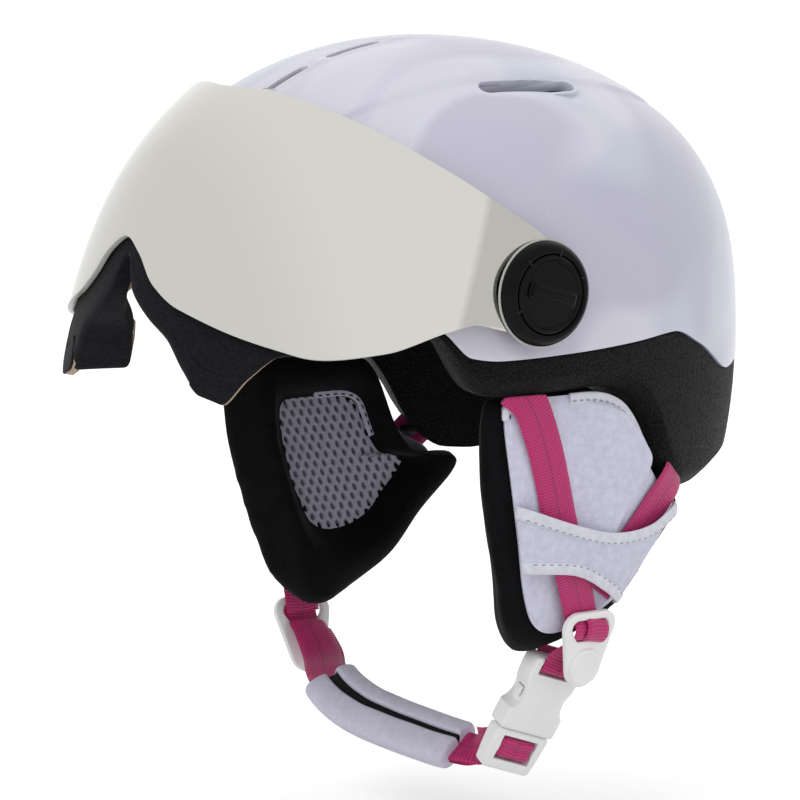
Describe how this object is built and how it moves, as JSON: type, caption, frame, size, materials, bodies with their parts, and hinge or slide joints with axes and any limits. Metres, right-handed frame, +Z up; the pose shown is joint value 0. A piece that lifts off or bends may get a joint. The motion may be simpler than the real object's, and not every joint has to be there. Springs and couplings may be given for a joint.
{
  "type": "ski helmet",
  "caption": "Child-size hard-shell ski helmet with foam liner, flip-up mirrored visor on side pivots with lock knobs, soft ear pads, dial size adjuster and buckled chin strap.",
  "frame": {"origin": "on the middle plane inside the head space, at the height where the shell is widest", "axes": "+Z up through the crown, -Y towards the face, +X towards the wearer's left"},
  "size_m": [0.2274, 0.2695, 0.2773],
  "materials": {
    "shell": "glossy pale lavender with soft large patches",
    "liner": "black expanded foam with moulded bead grain",
    "lens": "silver mirror coat outside, amber tint inside",
    "foam": "black brushed face foam",
    "comfort_pad": "black brushed fleece",
    "fit_plastic": "black moulded nylon",
    "dial": "black moulded, ribbed edge",
    "pivot_plastic": "black moulded",
    "washer": "plain natural acetal",
    "knob": "gloss black",
    "hardware": "plain zinc plated",
    "ear_cushion": "black fleece over foam",
    "ear_cover": "white-lavender woven cover with white binding",
    "ear_mesh": "grey spacer mesh",
    "webbing": "magenta ribbed webbing",
    "anchor": "smoky grey plastic",
    "buckle": "white moulded acetal",
    "chin_pad": "pale lavender fleece"
  },
  "bodies": {
    "helmet": {"outer_shell": "shell", "eps_liner": "liner", "brow_pad": "comfort_pad", "left_side_pad": "comfort_pad", "right_side_pad": "comfort_pad", "crown_pad": "comfort_pad", "left_pivot_boss": "pivot_plastic", "left_friction_washer": "washer", "left_knob_ring": "knob", "left_pivot_screw": "hardware", "left_pivot_nut": "hardware", "left_ear_cushion": "ear_cushion", "left_ear_cover": "ear_cover", "left_ear_mesh": "ear_mesh", "left_ear_pocket_band": "ear_cover", "left_front_strap": "webbing", "left_front_strap_anchor": "anchor", "left_rear_strap": "webbing", "left_rear_strap_anchor": "anchor", "left_strap_divider": "buckle", "right_pivot_boss": "pivot_plastic", "right_friction_washer": "washer", "right_knob_ring": "knob", "right_pivot_screw": "hardware", "right_pivot_nut": "hardware", "right_ear_cushion": "ear_cushion", "right_ear_cover": "ear_cover", "right_ear_mesh": "ear_mesh", "right_ear_pocket_band": "ear_cover", "right_front_strap": "webbing", "right_front_strap_anchor": "anchor", "right_rear_strap": "webbing", "right_rear_strap_anchor": "anchor", "right_strap_divider": "buckle", "buckle_female": "buckle", "chin_strap": "webbing", "buckle_strap": "webbing", "chin_pad": "chin_pad"},
    "visor": {"visor_lens": "lens", "visor_face_foam": "foam"},
    "left_knob": {"left_turn_knob": "knob"},
    "right_knob": {"right_turn_knob": "knob"},
    "fit_cradle_body": {"fit_cradle": "fit_plastic", "nape_pad": "comfort_pad", "fit_housing": "fit_plastic"},
    "fit_dial_body": {"fit_dial": "dial"},
    "buckle_male_body": {"buckle_male": "buckle"}
  },
  "joints": [
    {"name": "visor_flip", "type": "hinge", "parent": "helmet", "child": "visor", "pos_m": [0, -0.0158, 0.0327], "axis": [-1, 0, 0], "range_deg": [-35, 20]},
    {"name": "left_knob_turn", "type": "hinge", "parent": "helmet", "child": "left_knob", "pos_m": [0.108, -0.0158, 0.0327], "axis": [1, 0, 0], "range_deg": [0, 90]},
    {"name": "right_knob_turn", "type": "hinge", "parent": "helmet", "child": "right_knob", "pos_m": [-0.108, -0.0158, 0.0327], "axis": [-1, 0, 0], "range_deg": [0, 90]},
    {"name": "fit_dial_turn", "type": "hinge", "parent": "fit_cradle_body", "child": "fit_dial_body", "pos_m": [0, 0.10992, -0.05535], "axis": [0, 1, 0], "range_deg": [0, 270]},
    {"name": "fit_cradle_slide", "type": "slide", "parent": "helmet", "child": "fit_cradle_body", "axis": [0, -1, 0], "range_m": [0, 0.008]},
    {"name": "buckle_slide", "type": "slide", "parent": "helmet", "child": "buckle_male_body", "axis": [-0.3613, -0.281, -0.8891], "range_m": [0, 0.022], "deforming": ["chin_strap"]}
  ],
  "couplings": [
    {"joint": "fit_dial_turn", "follows": "fit_cradle_slide", "rad_per_m": 589.05}
  ]
}
